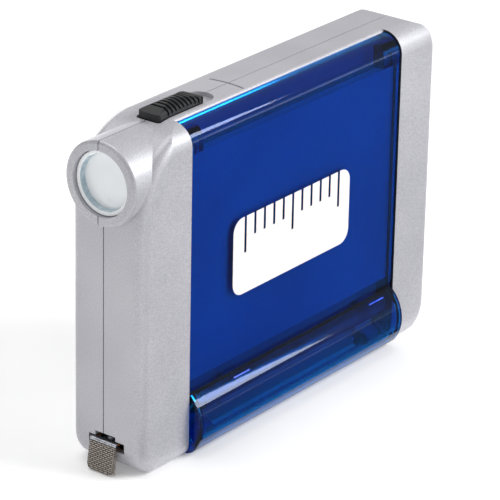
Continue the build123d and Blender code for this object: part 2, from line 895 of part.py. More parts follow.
with BuildPart() as mainspring:
    spring_front = blade_front + cap_thickness + spring_side_gap
    spring_back = web_front - spring_side_gap
    spring_plane = Plane(origin=(reel_x, spring_front, reel_height), x_dir=(1, 0, 0), z_dir=(0, -1, 0))
    with BuildSketch(spring_plane):
        with BuildLine():
            inside = spiral_half_turns(spring_inner)
            outer_side = spiral_half_turns(spring_inner + spring_thickness)
            for start, middle, end in inside + outer_side:
                ThreePointArc(start, middle, end)
            Line(inside[0][0], outer_side[0][0])
            Line(inside[-1][2], outer_side[-1][2])
        make_face()
    extrude(amount=-(spring_back - spring_front))
mainspring.part.label = "mainspring"

with BuildPart() as spring_cap:
    cap_radius = hub_radius - hub_wall - slide_fit
    cross_rod(cap_radius, blade_front, blade_front + cap_thickness, reel_x, reel_height)
    cross_rod(post_radius + 2 * slide_fit, -far, far, reel_x, reel_height, mode=Mode.SUBTRACT)
spring_cap.part.label = "spring_cap"

with BuildPart() as mouth_guide:
    block(
        (left + guide_inset, deck_back + slide_fit, guide_low),
        (left + guide_inset + guide_length, blade_back + guide_back, guide_high),
    )
    block(
        (-far, blade_front - guide_side_gap, blade_low - guide_gap),
        (far, blade_back + guide_side_gap, bend_top + guide_gap),
        mode=Mode.SUBTRACT,
    )
mouth_guide.part.label = "mouth_guide"

pieces = (
    front_shell,
    back_shell,
    case_screws,
    flip_cover,
    pad_card,
    note_pad,
    pen_barrel,
    pen_tip,
    pen_refill,
    pen_plug,
    torch_lens,
    torch_reflector,
    led,
    led_board,
    battery_contacts,
    coin_cells,
    battery_door,
    switch_knob,
    switch_bridge,
    tape_blade,
    tape_hook,
    hook_backing,
    hook_rivets,
    reel_post,
    reel_hub,
    tape_coil,
    mainspring,
    spring_cap,
    mouth_guide,
)
for piece in pieces:
    export_step(piece.part, f"parts/{piece.part.label}.step")
    print(piece.part.label, round(piece.part.volume, 1))
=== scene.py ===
import math

import bmesh
import bpy
from mathutils import Matrix, Vector


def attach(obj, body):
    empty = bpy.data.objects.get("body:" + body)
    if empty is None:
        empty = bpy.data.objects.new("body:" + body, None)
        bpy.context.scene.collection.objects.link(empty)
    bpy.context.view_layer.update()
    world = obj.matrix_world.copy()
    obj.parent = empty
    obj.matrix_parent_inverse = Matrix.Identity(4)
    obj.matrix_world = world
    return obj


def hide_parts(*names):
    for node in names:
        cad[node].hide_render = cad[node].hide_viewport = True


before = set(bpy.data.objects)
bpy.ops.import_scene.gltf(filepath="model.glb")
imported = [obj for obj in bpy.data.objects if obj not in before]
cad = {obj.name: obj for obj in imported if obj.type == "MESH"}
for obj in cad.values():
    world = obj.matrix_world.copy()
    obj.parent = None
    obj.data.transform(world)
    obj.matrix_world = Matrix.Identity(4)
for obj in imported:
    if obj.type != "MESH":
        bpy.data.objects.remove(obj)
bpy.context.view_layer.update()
scene = bpy.context.scene
mm = 0.001
print("frame loaded,", len(cad), "CAD nodes")


# ---- colours and nodes
def fromHex(code):
    # sRGB hex to the linear colour that shaders use
    parts = [int(code[i:i + 2], 16) / 255 for i in (1, 3, 5)]
    linear = [p / 12.92 if p <= 0.04045 else ((p + 0.055) / 1.055) ** 2.4 for p in parts]
    return (*linear, 1.0)


def addNode(material, kind, links=None, **settings):
    # one shader node: settings go to the node itself, links to its inputs as sockets or plain values
    shaderNode = material.node_tree.nodes.new(kind)
    for name, value in settings.items():
        setattr(shaderNode, name, value)
    for name, value in (links or {}).items():
        if isinstance(value, bpy.types.NodeSocket):
            material.node_tree.links.new(value, shaderNode.inputs[name])
        else:
            shaderNode.inputs[name].default_value = value
    return shaderNode


def newMaterial(name):
    material = bpy.data.materials.new(name)
    material.use_nodes = True
    material.node_tree.nodes.clear()
    return material


def finishMaterial(material, sockets):
    surface = addNode(material, "ShaderNodeBsdfPrincipled", sockets)
    addNode(material, "ShaderNodeOutputMaterial", {"Surface": surface.outputs["BSDF"]})
    return material


def twoTone(material, factor, dark, light, low=0.35, high=0.65):
    ramp = addNode(material, "ShaderNodeValToRGB", {"Fac": factor})
    ramp.color_ramp.elements[0].position = low
    ramp.color_ramp.elements[0].color = fromHex(dark)
    ramp.color_ramp.elements[1].position = high
    ramp.color_ramp.elements[1].color = fromHex(light)
    return ramp.outputs["Color"]


def remap(material, value, low, high):
    sockets = {"Value": value, "From Min": 0.3, "From Max": 0.7, "To Min": low, "To Max": high}
    return addNode(material, "ShaderNodeMapRange", sockets).outputs["Result"]


def place(material, stretch=(1, 1, 1)):
    # position in metres in the object's own frame, so that a pattern keeps its real size
    where = addNode(material, "ShaderNodeTexCoord").outputs["Object"]
    return addNode(material, "ShaderNodeMapping", {"Vector": where, "Scale": stretch}).outputs["Vector"]


def noise(material, where, size, detail=2.0):
    sockets = {"Vector": where, "Scale": 1 / (size * mm), "Detail": detail}
    return addNode(material, "ShaderNodeTexNoise", sockets).outputs["Fac"]


def mixColour(material, factor, first, second, blend="MIX"):
    sockets = {"Factor": factor, 6: first, 7: second}
    return addNode(material, "ShaderNodeMix", sockets, data_type="RGBA", blend_type=blend).outputs[2]


def bumpFrom(material, height, depth, strength=0.3, normal=None):
    sockets = {"Height": height, "Strength": strength, "Distance": depth * mm}
    if normal:
        sockets["Normal"] = normal
    return addNode(material, "ShaderNodeBump", sockets).outputs["Normal"]


def maths(material, operation, first, second=0.0, third=0.0):
    sockets = {0: first, 1: second, 2: third}
    return addNode(material, "ShaderNodeMath", sockets, operation=operation).outputs["Value"]


# ---- materials
silverPlan = {
    "darkFlake": "#A6A6AC",
    "lightFlake": "#CBCAD0",
    "flakeSize": 0.2,  # mm; real flake is near 0.05, drawn coarser so that it shows
    "cloudSize": 16.0,  # mm
    "cloudDark": "#F4F4F5",
    "cloudLight": "#FFFFFF",
    "peelSize": 1.3,  # mm
    "metallic": 0.25,
    "pocketShadeDark": "#1C1D22",  # painted shade: the pocket's two side walls are drawn dark and without metal
    "pocketShadeLight": "#2B2C32",
    "pocket": (-34.75, 36.65, -4.95),  # mm: left side, right side and back of the pocket
    "pocketShadeEdge": 0.9,  # mm in from both side walls together
}


# ABS with sprayed aluminium lacquer: a soft satin silver with fine sparkle and faint orange peel, and
# painted shade on the pocket's side walls
def sprayedSilverLacquer(plan):
    material = newMaterial("sprayedSilverLacquer")
    where = place(material)
    flake = noise(material, where, plan["flakeSize"])
    cloud = noise(material, where, plan["cloudSize"])
    peel = noise(material, where, plan["peelSize"], 1.0)
    flakeColour = twoTone(material, flake, plan["darkFlake"], plan["lightFlake"], 0.3, 0.72)
    cloudColour = twoTone(material, cloud, plan["cloudDark"], plan["cloudLight"])
    flakeBump = bumpFrom(material, flake, 0.03, 0.12)
    parts = addNode(material, "ShaderNodeSeparateXYZ", {"Vector": where})
    left, right, back = (edge * mm for edge in plan["pocket"])
    middle = (left + right) / 2
    reach = (right - left) / 2
    # painted shade: a dark, non-metallic band along the pocket's two side walls
    inside = maths(material, "COMPARE", parts.outputs["X"], middle, reach)
    between = maths(material, "COMPARE", parts.outputs["X"], middle, reach - plan["pocketShadeEdge"] * mm / 2)
    walls = maths(material, "SUBTRACT", inside, between)
    pocketShade = maths(material, "MULTIPLY", walls, maths(material, "LESS_THAN", parts.outputs["Y"], back))
    pocketShadeColour = twoTone(material, cloud, plan["pocketShadeDark"], plan["pocketShadeLight"])
    sprayed = mixColour(material, 1.0, flakeColour, cloudColour, "MULTIPLY")
    return finishMaterial(material, {
        "Base Color": mixColour(material, pocketShade, sprayed, pocketShadeColour),
        "Metallic": maths(material, "MULTIPLY_ADD", pocketShade, -plan["metallic"], plan["metallic"]),
        "Roughness": remap(material, flake, 0.34, 0.46),
        "Coat Weight": 0.2,
        "Coat Roughness": 0.2,
        "Normal": bumpFrom(material, peel, 0.05, 0.1, flakeBump),
    })


coverPlan = {
    "darkTint": "#0A70C6",
    "lightTint": "#0C76CE",
    "specularTint": (0.6, 0.7, 1.0, 1),
    "flowSize": 24.0,  # mm
    "hazeSize": 3.0,
}


# transparent blue acrylic from a polished mould: deep even blue, sharp thin reflections, faint flow marks
def clearBlueAcrylic(plan):
    material = newMaterial("clearBlueAcrylic")
    where = place(material)
    flow = noise(material, where, plan["flowSize"], 1.5)
    haze = noise(material, where, plan["hazeSize"])
    return finishMaterial(material, {
        "Base Color": twoTone(material, flow, plan["darkTint"], plan["lightTint"]),
        "Roughness": remap(material, haze, 0.02, 0.06),
        "IOR": 1.49,
        "Specular Tint": plan["specularTint"],
        "Transmission Weight": 1.0,
        "Normal": bumpFrom(material, flow, 0.15, 0.03),
    })


nickelPlan = {
    "dark": "#9A928B",
    "light": "#B7AFA8",
    "rubbed": "#B5AFA8",
    "grainSize": 0.22,  # mm
    "wearSize": 0.5,
}


# steel strip, nickel plated after the knurl is rolled in: warm grey with upright grain and rubbed high spots
def nickelPlatedSteel(plan):
    material = newMaterial("nickelPlatedSteel")
    where = place(material)
    grain = noise(material, place(material, (1, 1, 0.15)), plan["grainSize"])
    wear = noise(material, where, plan["wearSize"])
    steelColour = twoTone(material, grain, plan["dark"], plan["light"])
    rubbed = remap(material, wear, 0.0, 0.25)
    return finishMaterial(material, {
        "Base Color": mixColour(material, rubbed, steelColour, fromHex(plan["rubbed"])),
        "Metallic": 1.0,
        "Roughness": remap(material, grain, 0.22, 0.4),
        "Normal": bumpFrom(material, grain, 0.02),
    })


paperPlan = {
    "dark": "#E9EAEA",
    "light": "#F7F8F8",
    "fibreSize": 0.25,  # mm
    "sheet": 0.11,  # mm; real sheets are near 0.1 mm
    "pageGap": 0.025,
    "pageColour": "#B9B7AF",
    "lineSpacing": 3.0,
    "lineWidth": 0.07,
    "lineColour": "#7F97B8",
}


# paper block, guillotined and glued along the top: white sheets, fine page lines on its edges and
# faint ruled lines
def guillotinedPaper(plan):
    material = newMaterial("guillotinedPaper")
    where = place(material)
    fibre = noise(material, where, plan["fibreSize"], 3.0)
    parts = addNode(material, "ShaderNodeSeparateXYZ", {"Vector": where})
    sheet = maths(material, "PINGPONG", parts.outputs["Y"], plan["sheet"] * mm)
    page = maths(material, "LESS_THAN", sheet, plan["pageGap"] * mm)
    line = maths(material, "PINGPONG", parts.outputs["Z"], plan["lineSpacing"] * mm)
    ruled = maths(material, "LESS_THAN", line, plan["lineWidth"] * mm)
    paper = twoTone(material, fibre, plan["dark"], plan["light"])
    faintPage = maths(material, "MULTIPLY", page, 0.35)
    faintLine = maths(material, "MULTIPLY", ruled, 0.18)
    paged = mixColour(material, faintPage, paper, fromHex(plan["pageColour"]))
    return finishMaterial(material, {
        "Base Color": mixColour(material, faintLine, paged, fromHex(plan["lineColour"])),
        "Roughness": remap(material, fibre, 0.75, 0.88),
        "Normal": bumpFrom(material, fibre, 0.02, 0.2),
    })


bladePlan = {
    "dark": "#C06414",
    "light": "#D67A1E",
    "ink": "#1B1512",
    "mottleSize": 3.0,  # mm
    "fineMark": (0.5, 0.09),  # mm: half the spacing, half the width
    "boldMark": (2.5, 0.14),
    "shortReach": -2.2,  # mm, marks start at the front edge and end here
    "longReach": -1.0,
}


# spring steel blade with baked enamel: glossy orange with printed millimetre marks across its front edge
def enamelledBlade(plan):
    material = newMaterial("enamelledBlade")
    where = place(material)
    mottle = noise(material, where, plan["mottleSize"])
    parts = addNode(material, "ShaderNodeSeparateXYZ", {"Vector": where})
    stripes = []
    for spacing, width in (plan["fineMark"], plan["boldMark"]):
        along = maths(material, "PINGPONG", parts.outputs["X"], spacing * mm)
        stripes.append(maths(material, "LESS_THAN", along, width * mm))
    nearEdge = maths(material, "LESS_THAN", parts.outputs["Y"], plan["shortReach"] * mm)
    nearMiddle = maths(material, "LESS_THAN", parts.outputs["Y"], plan["longReach"] * mm)
    short = maths(material, "MULTIPLY", stripes[0], nearEdge)
    long = maths(material, "MULTIPLY", stripes[1], nearMiddle)
    marks = maths(material, "MAXIMUM", short, long)
    enamel = twoTone(material, mottle, plan["dark"], plan["light"])
    return finishMaterial(material, {
        "Base Color": mixColour(material, marks, enamel, fromHex(plan["ink"])),
        "Roughness": remap(material, mottle, 0.2, 0.3),
        "Coat Weight": 0.4,
        "Coat Roughness": 0.1,
    })


coilPlan = {
    "dark": "#BE6516",
    "light": "#D07A26",
    "edgeColour": "#6E6A66",
    "turn": 0.2,  # mm, half the spacing of the drawn turns; real turns are 0.12 mm apart
    "edgeWidth": 0.07,
    "centre": (-4.0, 0.0, 26.675),  # mm, the reel's axis
}


# many turns of the same blade seen from the side: fine rings of orange enamel and bare steel edges
def woundBlade(plan):
    material = newMaterial("woundBlade")
    where = addNode(material, "ShaderNodeTexCoord").outputs["Object"]
    centre = tuple(part * mm for part in plan["centre"])
    offset = addNode(material, "ShaderNodeVectorMath", {0: where, 1: centre}, operation="SUBTRACT")
    flat = addNode(
        material, "ShaderNodeVectorMath", {0: offset.outputs["Vector"], 1: (1, 0, 1)}, operation="MULTIPLY"
    )
    radius = addNode(material, "ShaderNodeVectorMath", {0: flat.outputs["Vector"]}, operation="LENGTH")
    turn = maths(material, "PINGPONG", radius.outputs["Value"], plan["turn"] * mm)
    edge = maths(material, "LESS_THAN", turn, plan["edgeWidth"] * mm)
    mottle = noise(material, where, 2.0)
    enamel = twoTone(material, mottle, plan["dark"], plan["light"])
    return finishMaterial(material, {
        "Base Color": mixColour(material, edge, enamel, fromHex(plan["edgeColour"])),
        "Roughness": remap(material, mottle, 0.3, 0.42),
        "Normal": bumpFrom(material, edge, 0.05, 0.3),
    })


boardPlan = {
    "dark": "#0D4423",
    "light": "#14592E",
    "trackColour": "#2B7A45",
    "trackSpacing": 2.2,  # mm
    "trackWidth": 0.08,  # share of the spacing
    "grainSize": 0.5,  # mm
}


# circuit board with green solder mask and faint tracks
def solderMask(plan):
    material = newMaterial("solderMask")
    where = place(material)
    cells = addNode(
        material, "ShaderNodeTexVoronoi", {"Vector": where, "Scale": 1 / (plan["trackSpacing"] * mm)},
        feature="DISTANCE_TO_EDGE",
    )
    track = maths(material, "LESS_THAN", cells.outputs["Distance"], plan["trackWidth"])
    grain = noise(material, where, plan["grainSize"])
    mask = twoTone(material, grain, plan["dark"], plan["light"])
    return finishMaterial(material, {
        "Base Color": mixColour(material, track, mask, fromHex(plan["trackColour"])),
        "Roughness": remap(material, grain, 0.28, 0.4),
        "Normal": bumpFrom(material, track, 0.03, 0.4),
    })


# moulded, turned or rolled parts: mottled colour, roughness and a small bump from one grain
def grainedPart(name, dark, light, grainSize, roughness, **extra):
    material = newMaterial(name)
    grain = noise(material, place(material, extra.pop("stretch", (1, 1, 1))), grainSize, 2.5)
    sockets = {
        "Base Color": twoTone(material, grain, dark, light),
        "Roughness": remap(material, grain, roughness - 0.06, roughness + 0.06),
        "Normal": bumpFrom(material, grain, extra.pop("relief", 0.02)),
    }
    sockets.update(extra)
    return finishMaterial(material, sockets)


# white lamp diffuser, lit from behind: an even, faint white glow with soft clouds
def litDiffuser(plan):
    material = newMaterial("litDiffuser")
    cloud = noise(material, place(material), plan["cloudSize"], 1.0)
    glow = twoTone(material, cloud, plan["glowDark"], plan["glowLight"])
    return finishMaterial(material, {
        "Base Color": twoTone(material, cloud, plan["dark"], plan["light"]),
        "Roughness": remap(material, cloud, 0.25, 0.35),
        "Emission Color": glow,
        "Emission Strength": plan["glow"],
        "Coat Weight": 0.6,
    })


lensPlan = {
    "dark": "#E6E9EC",
    "light": "#F0F2F3",
    "glowDark": "#E9ECEE",
    "glowLight": "#F2F4F5",
    "glow": 0.05,
    "cloudSize": 9.0,  # mm
    "frontX": -50.8,  # mm, in the case's frame, inside the torch's lip
    "floorX": -49.3,
    "domeRise": (0.12, 0.18),  # mm, of the lit floor at the edge of its middle and at its centre
    "domeShare": 0.6,  # of the floor's radius
    "backThickness": 0.25,
    "chamfer": 0.15,
    "innerLip": 0.2,
    "side": -0.45,
    "height": 62.9,
    "rimOuter": 6.78,
    "rimInner": 5.95,
    "floorRadius": 5.7,
    "segments": 96,
}

finishes = {
    "silver": sprayedSilverLacquer(silverPlan),
    "blue": clearBlueAcrylic(coverPlan),
    "nickel": nickelPlatedSteel(nickelPlan),
    "paper": guillotinedPaper(paperPlan),
    "blade": enamelledBlade(bladePlan),
    "coil": woundBlade(coilPlan),
    "board": solderMask(boardPlan),
    # black ABS from a spark-eroded mould: matt, with a dull sheen on its high spots
    "black": grainedPart("sparkErodedBlackAbs", "#0D0E10", "#191A1E", 0.3, 0.4, relief=0.03),
    # the reel's black acetal is smoother
    "acetal": grainedPart("mouldedBlackAcetal", "#17181A", "#212327", 1.2, 0.32),
    # painted shade: the knurl's hollows are drawn darker and less metallic than the crests
    "knurlShade": grainedPart("knurlHollowShade", "#4C4742", "#635D57", 0.4, 0.5, Metallic=0.8),
    # zinc plated screws, rivets and post; on the hook's bend the same lighter finish is a painted highlight
    "zincAndBendHighlight": grainedPart("zincPlatedSteelAndBendHighlight", "#A4A7AD", "#C6C9CF", 0.5, 0.3, Metallic=1.0),
    "cell": grainedPart(
        "nickelPlatedCell", "#B9B9B6", "#D5D5D2", 0.3, 0.26, Metallic=1.0, stretch=(1, 1, 0.2)
    ),
    "spring": grainedPart("bluedSpringSteel", "#2A2F3B", "#454C5C", 0.6, 0.27, Metallic=1.0),
    "brass": grainedPart("rolledBrass", "#A9863F", "#CDAA5C", 0.5, 0.27, Metallic=1.0),
    "card": grainedPart("greyBoard", "#A49C8E", "#B9B1A3", 0.4, 0.85, relief=0.04),
    # polystyrene pen barrel: sea green, glossy
    "teal": grainedPart("tealPolystyrene", "#06696B", "#0B8C84", 5.0, 0.18, IOR=1.59),
    "refill": grainedPart("whitePolypropylene", "#E1E4E5", "#F2F4F5", 0.9, 0.4),
    "chrome": grainedPart("vacuumPlatedReflector", "#CBD3DB", "#E9EDF1", 0.9, 0.14, Metallic=1.0),
    "ledDome": grainedPart("castEpoxyDome", "#EEF1EC", "#FBFCF7", 1.0, 0.12, IOR=1.53),
    # frosted polycarbonate rim of the lamp window
    "rim": grainedPart("frostedPolycarbonate", "#F0F3F5", "#FCFDFE", 0.6, 0.4, IOR=1.58),
    # painted shade: the window's inner wall is drawn in a cool blue grey
    "wall": grainedPart("windowWallShade", "#A9BDC9", "#CBD9E1", 1.4, 0.2, IOR=1.58),
    "ink": grainedPart("padPrintedWhiteInk", "#DADADA", "#E8E8E8", 0.7, 0.5, relief=0.01),
    "lit": litDiffuser(lensPlan),
    # painted glint: the pips are drawn in a lighter, opaque blue than the cover
    "pipGlint": grainedPart("bluePipGlint", "#1D4BE8", "#3C6CFF", 1.5, 0.2, IOR=1.49),
}

paint = {
    "front_shell": "silver", "back_shell": "silver", "battery_door": "silver", "case_screws": "zincAndBendHighlight",
    "flip_cover": "blue", "pad_card": "card", "note_pad": "paper", "pen_barrel": "teal",
    "pen_tip": "brass", "pen_refill": "refill", "pen_plug": "teal", "torch_lens": "rim",
    "torch_reflector": "chrome", "led": "ledDome", "led_board": "board", "battery_contacts": "brass",
    "coin_cells": "cell", "switch_knob": "black", "switch_bridge": "brass", "tape_blade": "blade",
    "tape_hook": "nickel", "hook_backing": "nickel", "hook_rivets": "zincAndBendHighlight", "reel_post": "zincAndBendHighlight",
    "reel_hub": "acetal", "tape_coil": "coil", "mainspring": "spring", "spring_cap": "acetal",
    "mouth_guide": "black",
}
for name, finish in paint.items():
    cad[name].data.materials.clear()
    cad[name].data.materials.append(finishes[finish])
print("materials made:", len(finishes))


# ---- pieces
def meshPiece(name, build, finishNames, body):
    # one mesh object from a function that fills a bmesh in millimetres
    shape = bmesh.new()
    build(shape)
    bmesh.ops.scale(shape, vec=(mm, mm, mm), verts=shape.verts)
    bmesh.ops.recalc_face_normals(shape, faces=shape.faces)
    mesh = bpy.data.meshes.new(name)
    shape.to_mesh(mesh)
    shape.free()
    for finish in finishNames:
        mesh.materials.append(finishes[finish])
    piece = bpy.data.objects.new(name, mesh)
    scene.collection.objects.link(piece)
    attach(piece, body)
    return piece


def smoothByAngle(piece, degrees=35):
    for polygon in piece.data.polygons:
        polygon.use_smooth = True
    shape = bmesh.new()
    shape.from_mesh(piece.data)
    for edge in shape.edges:
        edge.smooth = len(edge.link_faces) == 2 and edge.calc_face_angle() < math.radians(degrees)
    shape.to_mesh(piece.data)
    shape.free()


def lampWindow(plan):
    # turned window: frosted rim, inner wall in painted cool shade, lit floor; closed behind so that it is
    # one solid
    def build(shape):
        behind = plan["floorX"] + plan["backThickness"]
        front, chamfer, lip = plan["frontX"], plan["chamfer"], plan["innerLip"]
        edgeRise, middleRise = plan["domeRise"]
        # radius, place along the torch, finish of the band that ends there
        outline = [
            (plan["rimOuter"], behind, 0),
            (plan["rimOuter"], front + chamfer, 0),
            (plan["rimOuter"] - chamfer, front, 0),
            (plan["rimInner"] + lip, front, 0),
            (plan["rimInner"], front + lip, 0),
            (plan["floorRadius"], plan["floorX"], 1),
            (plan["domeShare"] * plan["floorRadius"], plan["floorX"] - edgeRise, 2),
            (0, plan["floorX"] - middleRise, 2),
        ]
        rings = []
        for radius, x, _ in outline[:-1]:
            ring = []
            for step in range(plan["segments"]):
                angle = 2 * math.pi * step / plan["segments"]
                across, up = radius * math.cos(angle), radius * math.sin(angle)
                ring.append(shape.verts.new((x, plan["side"] + across, plan["height"] + up)))
            rings.append(ring)
        middle = shape.verts.new((outline[-1][1], plan["side"], plan["height"]))
        for number, (near, far) in enumerate(zip(rings, rings[1:])):
            for step in range(plan["segments"]):
                after = (step + 1) % plan["segments"]
                face = shape.faces.new((near[step], near[after], far[after], far[step]))
                face.material_index = outline[number + 1][2]
        for step in range(plan["segments"]):
            after = (step + 1) % plan["segments"]
            face = shape.faces.new((rings[-1][step], rings[-1][after], middle))
            face.material_index = 2
        shape.faces.new(list(reversed(rings[0])))

    piece = meshPiece("lampWindow", build, ["rim", "wall", "lit"], "case")
    smoothByAngle(piece, 30)
    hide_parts("torch_lens")


lampWindow(lensPlan)

hookPlan = {
    "topX": -50.75,  # mm, outer face of the leaf under the bend
    "topZ": 6.975,
    "tipZ": 0.36,
    "lean": 11.0,  # degrees
    "side": -0.5,
    "width": 6.8,
    "thickness": 0.4,
    "cornerRadius": 1.3,
    "bendRadius": 0.45,
    "tabWidth": 4.4,
    "tabEnd": -43.5,
    "rowPitch": 0.42,
    "brickLength": 1.2,
    "brickGap": 0.14,
    "brickHeight": 0.16,
    "plainTop": 0.75,  # band without knurl under the bend
    "brickSink": 0.03,  # mm that a brick reaches into the leaf
    "brickSlope": 0.05,
    "sideMargin": 0.08,
    "footMargin": 0.05,
    "shortestBrick": 0.15,
    "shoulder": 0.5,  # mm from the bend to where the tab narrows
    "shoulderSlope": 0.35,
}


def leafPoint(plan, across, down, out):
    # a point on the leaning leaf: across its width, down from the top, out from its outer face
    lean = math.radians(plan["lean"])
    x = plan["topX"] - down * math.sin(lean) - out * math.cos(lean)
    z = plan["topZ"] - down * math.cos(lean) + out * math.sin(lean)
    return (x, plan["side"] + across, z)


def leafOutline(plan, length, radius, start):
    half = plan["width"] / 2
    outline = [(-half, start), (half, start)]
    for quarter, (sideSign, first) in enumerate(((1, 0), (-1, 90))):
        for step in range(7):
            angle = math.radians(first + 15 * step)
            across = sideSign * (half - radius) + radius * math.cos(angle)
            outline.append((across, length - radius + radius * math.sin(angle)))
    return outline


def addSolid(shape, outline, plan, low, high):
    # closed prism through the leaf's thickness
    near = [shape.verts.new(leafPoint(plan, across, down, low)) for across, down in outline]
    far = [shape.verts.new(leafPoint(plan, across, down, high)) for across, down in outline]
    shape.faces.new(near)
    shape.faces.new(list(reversed(far)))
    for step in range(len(outline)):
        after = (step + 1) % len(outline)
        shape.faces.new((near[step], near[after], far[after], far[step]))


def hookLeaf(plan):
    length = (plan["topZ"] - plan["tipZ"]) / math.cos(math.radians(plan["lean"]))
    relief = plan["brickHeight"]

    def build(shape):
        addSolid(shape, leafOutline(plan, length, plan["cornerRadius"], plan["bendRadius"]), plan,
                 -plan["thickness"], -relief)
        shape.faces.ensure_lookup_table()
        shape.faces[1].material_index = 1  # the face under the knurl, in the painted shade of the hollows
        half = plan["width"] / 2
        rows = int((length - plan["plainTop"]) / plan["rowPitch"])
        step = plan["brickLength"]
        for row in range(rows):
            top = plan["plainTop"] + row * plan["rowPitch"]
            bottom = top + plan["rowPitch"] - plan["brickGap"]
            inset = max(0.0, bottom - (length - plan["cornerRadius"]))
            edge = plan["cornerRadius"] - math.sqrt(max(0.0, plan["cornerRadius"] ** 2 - inset ** 2))
            low, high = -half + edge + plan["sideMargin"], half - edge - plan["sideMargin"]
            across = low - (step / 2 if row % 2 else 0)
            while across < high:
                start, end = max(low, across), min(high, across + step - plan["brickGap"])
                if end - start > plan["shortestBrick"] and bottom < length - plan["footMargin"]:
                    base = [(start, top), (end, top), (end, bottom), (start, bottom)]
                    inner = plan["brickSlope"]
                    crest = [
                        (start + inner, top + inner), (end - inner, top + inner),
                        (end - inner, bottom - inner), (start + inner, bottom - inner),
                    ]
                    near = [shape.verts.new(leafPoint(plan, *p, -relief - plan["brickSink"])) for p in base]
                    far = [shape.verts.new(leafPoint(plan, *p, 0.0)) for p in crest]
                    shape.faces.new(near)
                    shape.faces.new(list(reversed(far)))
                    for side in range(4):
                        after = (side + 1) % 4
                        shape.faces.new((near[side], near[after], far[after], far[side]))
                across += step

    def buildBend(shape):
        # rounded bend and the tab that is riveted to the blade, in a lighter finish than the leaf as a
        # painted highlight
        radius, thickness = plan["bendRadius"], plan["thickness"]
        half, tabHalf = plan["width"] / 2, plan["tabWidth"] / 2
        lean = math.radians(plan["lean"])
        start = leafPoint(plan, 0, radius, 0.0)
        profile = []
        steps = 10
        for number in range(steps + 1):
            angle = -lean + (math.pi / 2 + lean) * number / steps
            centreX = start[0] + radius * math.cos(lean)
            centreZ = start[2] - radius * math.sin(lean)
            profile.append((centreX, centreZ, angle))
        top = profile[-1][1] + radius
        lift = plan["topZ"] - top
        sections = []
        for x, z, angle in profile:
            outer = (x - radius * math.cos(angle), z + radius * math.sin(angle) + lift)
            inner = (
                x - (radius - thickness) * math.cos(angle), z + (radius - thickness) * math.sin(angle) + lift
            )
            sections.append((outer, inner, half))
        shoulder = sections[-1][0][0] + plan["shoulder"]
        tabStart = shoulder + plan["shoulderSlope"]
        tabTop, tabLow = plan["topZ"], plan["topZ"] - thickness
        sections.append(((shoulder, tabTop), (shoulder, tabLow), half))
        sections.append(((tabStart, tabTop), (tabStart, tabLow), tabHalf))
        sections.append(((plan["tabEnd"], tabTop), (plan["tabEnd"], tabLow), tabHalf))
        rings = []
        for outer, inner, reach in sections:
            ring = [
                shape.verts.new((outer[0], plan["side"] - reach, outer[1])),
                shape.verts.new((outer[0], plan["side"] + reach, outer[1])),
                shape.verts.new((inner[0], plan["side"] + reach, inner[1])),
                shape.verts.new((inner[0], plan["side"] - reach, inner[1])),
            ]
            rings.append(ring)
        shape.faces.new(rings[0])
        shape.faces.new(list(reversed(rings[-1])))
        for near, far in zip(rings, rings[1:]):
            for side in range(4):
                after = (side + 1) % 4
                shape.faces.new((near[side], near[after], far[after], far[side]))

    leaf = meshPiece("knurledHookLeaf", build, ["nickel", "knurlShade"], "tape")
    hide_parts("tape_hook")
    # painted highlight: the bend and tab take the lighter zinc finish instead of the leaf's nickel
    bend = meshPiece("hookBendAndTab", buildBend, ["zincAndBendHighlight"], "tape")
    smoothByAngle(bend, 25)
    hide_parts("tape_hook")


hookLeaf(hookPlan)

printPlan = {
    "centreX": -0.5,  # mm
    "centreZ": 39.0,
    "width": 40.0,
    "height": 17.0,
    "cornerRadius": 3.0,
    "cornerSteps": 8,
    "faceY": -9.5,
    "film": 0.03,
    "tickPitch": 3.2,
    "tickWidth": 0.75,
    "longTick": 8.0,
    "shortTick": 4.8,
    "ticks": 11,
    "longEvery": 5,
}


def rulerPrint(plan):
    # a plain ruler sign: rounded plate with graduation cut-outs along its top edge
    def addPlate(shape, outline):
        spots = [(plan["centreX"] + across, plan["centreZ"] + up) for across, up in outline]
        near = [shape.verts.new((x, plan["faceY"] - plan["film"], z)) for x, z in spots]
        far = [shape.verts.new((x, plan["faceY"], z)) for x, z in spots]
        shape.faces.new(near)
        shape.faces.new(list(reversed(far)))
        for step in range(len(spots)):
            after = (step + 1) % len(spots)
            shape.faces.new((near[step], near[after], far[after], far[step]))

    def corner(acrossSign, upSign, first):
        radius = plan["cornerRadius"]
        middle = (acrossSign * (plan["width"] / 2 - radius), upSign * (plan["height"] / 2 - radius))
        steps = plan["cornerSteps"]
        turns = [math.radians(first + 90 / steps * step) for step in range(steps + 1)]
        return [(middle[0] + radius * math.cos(turn), middle[1] + radius * math.sin(turn)) for turn in turns]

    def build(shape):
        halfWide, top = plan["width"] / 2, plan["height"] / 2
        low, middle = top - plan["longTick"], top - plan["shortTick"]
        addPlate(shape, corner(-1, -1, 180) + corner(1, -1, 270) + [(halfWide, low), (-halfWide, low)])
        edges = [-halfWide]
        for tick in range(plan["ticks"]):
            across = (tick - (plan["ticks"] - 1) / 2) * plan["tickPitch"]
            edges += [across - plan["tickWidth"] / 2, across + plan["tickWidth"] / 2]
            if tick % plan["longEvery"]:
                start, end = edges[-2:]
                addPlate(shape, [(start, low), (end, low), (end, middle), (start, middle)])
        edges.append(halfWide)
        for start, end in zip(edges[2::2], edges[3:-1:2]):
            addPlate(shape, [(start, low), (end, low), (end, top), (start, top)])
        addPlate(shape, [(edges[-2], low), (halfWide, low)] + corner(1, 1, 0) + [(edges[-2], top)])
        addPlate(shape, [(-halfWide, low), (edges[1], low), (edges[1], top)] + corner(-1, 1, 90))

    piece = meshPiece("rulerPrint", build, ["ink"], "cover")


rulerPrint(printPlan)

pipPlan = {
    "middles": (-18.3, 29.5),  # mm
    "length": 5.4,
    "side": -10.5,
    "height": 13.05,
    "size": 0.4,
    "lean": 50,  # degrees
    "rounding": 0.1,
}


